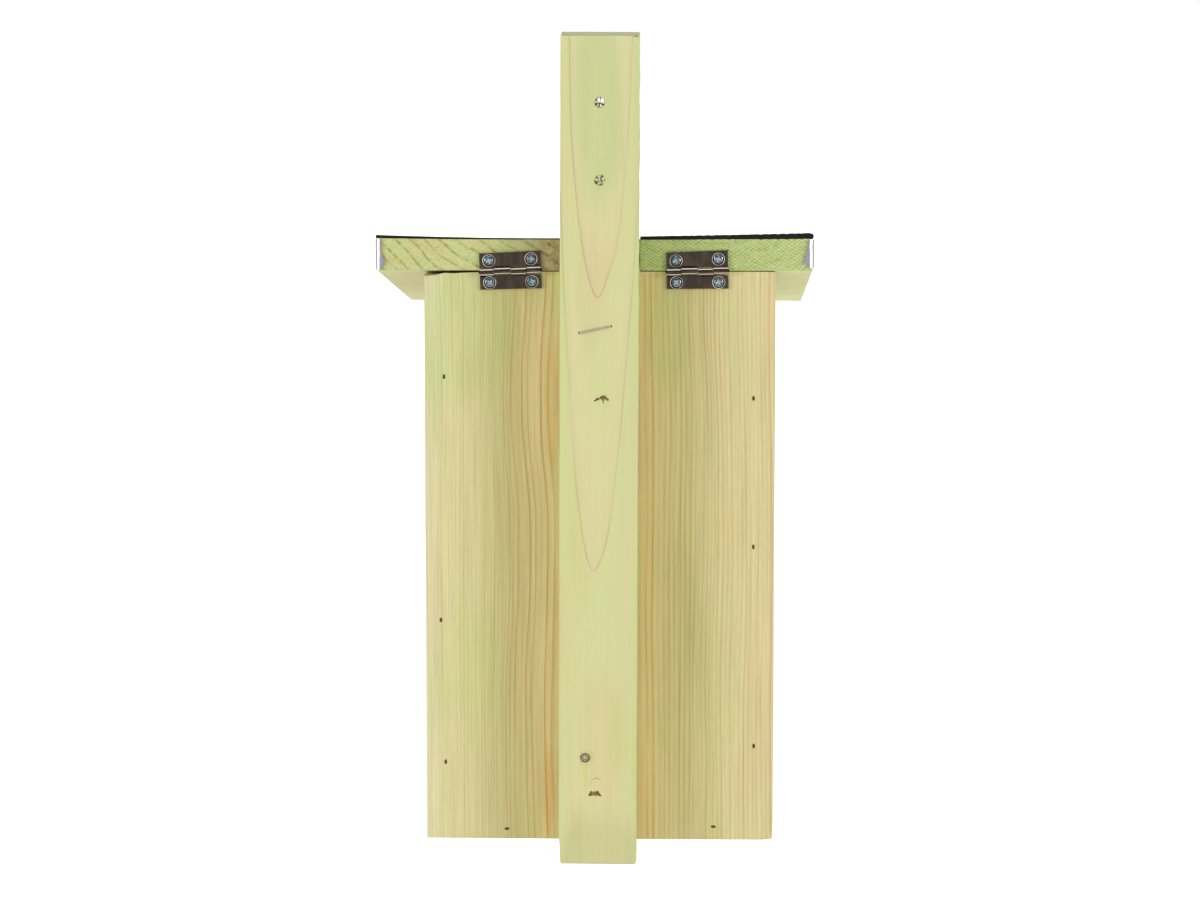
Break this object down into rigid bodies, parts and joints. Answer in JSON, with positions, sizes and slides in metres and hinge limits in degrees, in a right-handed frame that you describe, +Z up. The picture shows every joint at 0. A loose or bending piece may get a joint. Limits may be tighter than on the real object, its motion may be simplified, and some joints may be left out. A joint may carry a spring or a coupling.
{
  "type": "birdhouse",
  "caption": "Nest box of treated pine boards with a round entrance, a felted sloping roof that lifts on two small hinges, and a tall wall batten behind it.",
  "frame": {"origin": "centre of the batten's rear face, which lies against the wall", "axes": "+Z up, +Y out of the back towards the wall, -Y out of the front with the entrance, +X to the right seen from the front"},
  "size_m": [0.1696, 0.1812, 0.32],
  "materials": {
    "panel_pine": "planed softwood, pressure treated to a pale yellow green, unpainted and dry",
    "batten_pine": "planed softwood batten, paler and smoother than the panels, with one rough sawn edge",
    "roof_pine": "sawn end grain, strongly green from the treatment",
    "roofing_felt": "black bitumen felt with a fine mineral surface",
    "aluminium_strip": "plain folded strip, mill finish",
    "galvanised_nail": "dull galvanised",
    "brad_steel": "plain steel, darkened",
    "staple_steel": "galvanised wire, slightly dull",
    "zinc_screw": "bright bluish zinc plating, cross recess",
    "nickel_hinge": "thin nickel plating, polished, with warm dark reflections"
  },
  "bodies": {
    "box": {"back_batten": "batten_pine", "back_panel": "panel_pine", "front_panel": "panel_pine", "side_panel_left": "panel_pine", "side_panel_right": "panel_pine", "floor_panel": "panel_pine", "back_side_brad_1": "brad_steel", "back_side_brad_2": "brad_steel", "back_side_brad_3": "brad_steel", "back_side_brad_4": "brad_steel", "back_side_brad_5": "brad_steel", "back_side_brad_6": "brad_steel", "front_side_brad_1": "brad_steel", "front_side_brad_2": "brad_steel", "front_side_brad_3": "brad_steel", "front_side_brad_4": "brad_steel", "front_side_brad_5": "brad_steel", "front_side_brad_6": "brad_steel", "back_floor_brad_1": "brad_steel", "back_floor_brad_2": "brad_steel", "front_floor_brad_1": "brad_steel", "front_floor_brad_2": "brad_steel", "left_floor_brad_1": "brad_steel", "left_floor_brad_2": "brad_steel", "right_floor_brad_1": "brad_steel", "right_floor_brad_2": "brad_steel", "batten_screw_1": "zinc_screw", "batten_screw_2": "zinc_screw", "staple": "staple_steel", "hinge_left_fixed_leaf": "nickel_hinge", "hinge_right_fixed_leaf": "nickel_hinge", "hinge_left_pin": "nickel_hinge", "hinge_right_pin": "nickel_hinge", "hinge_left_fixed_screw_1": "zinc_screw", "hinge_left_fixed_screw_2": "zinc_screw", "hinge_right_fixed_screw_1": "zinc_screw", "hinge_right_fixed_screw_2": "zinc_screw"},
    "roof": {"roof_board_left": "roof_pine", "roof_board_right": "roof_pine", "roofing_felt": "roofing_felt", "edge_trim_left": "aluminium_strip", "edge_trim_right": "aluminium_strip", "trim_nail_left_1": "galvanised_nail", "trim_nail_left_2": "galvanised_nail", "trim_nail_right_1": "galvanised_nail", "trim_nail_right_2": "galvanised_nail", "clout_nail_left_1": "galvanised_nail", "clout_nail_left_2": "galvanised_nail", "clout_nail_left_3": "galvanised_nail", "clout_nail_right_1": "galvanised_nail", "clout_nail_right_2": "galvanised_nail", "clout_nail_right_3": "galvanised_nail", "hinge_left_roof_leaf": "nickel_hinge", "hinge_right_roof_leaf": "nickel_hinge", "hinge_left_roof_screw_1": "zinc_screw", "hinge_left_roof_screw_2": "zinc_screw", "hinge_right_roof_screw_1": "zinc_screw", "hinge_right_roof_screw_2": "zinc_screw"}
  },
  "joints": [
    {"name": "roof_hinge", "type": "hinge", "parent": "box", "child": "roof", "pos_m": [0, -0.0108, 0.06835], "axis": [-1, 0, 0], "range_deg": [0, 43]}
  ]
}
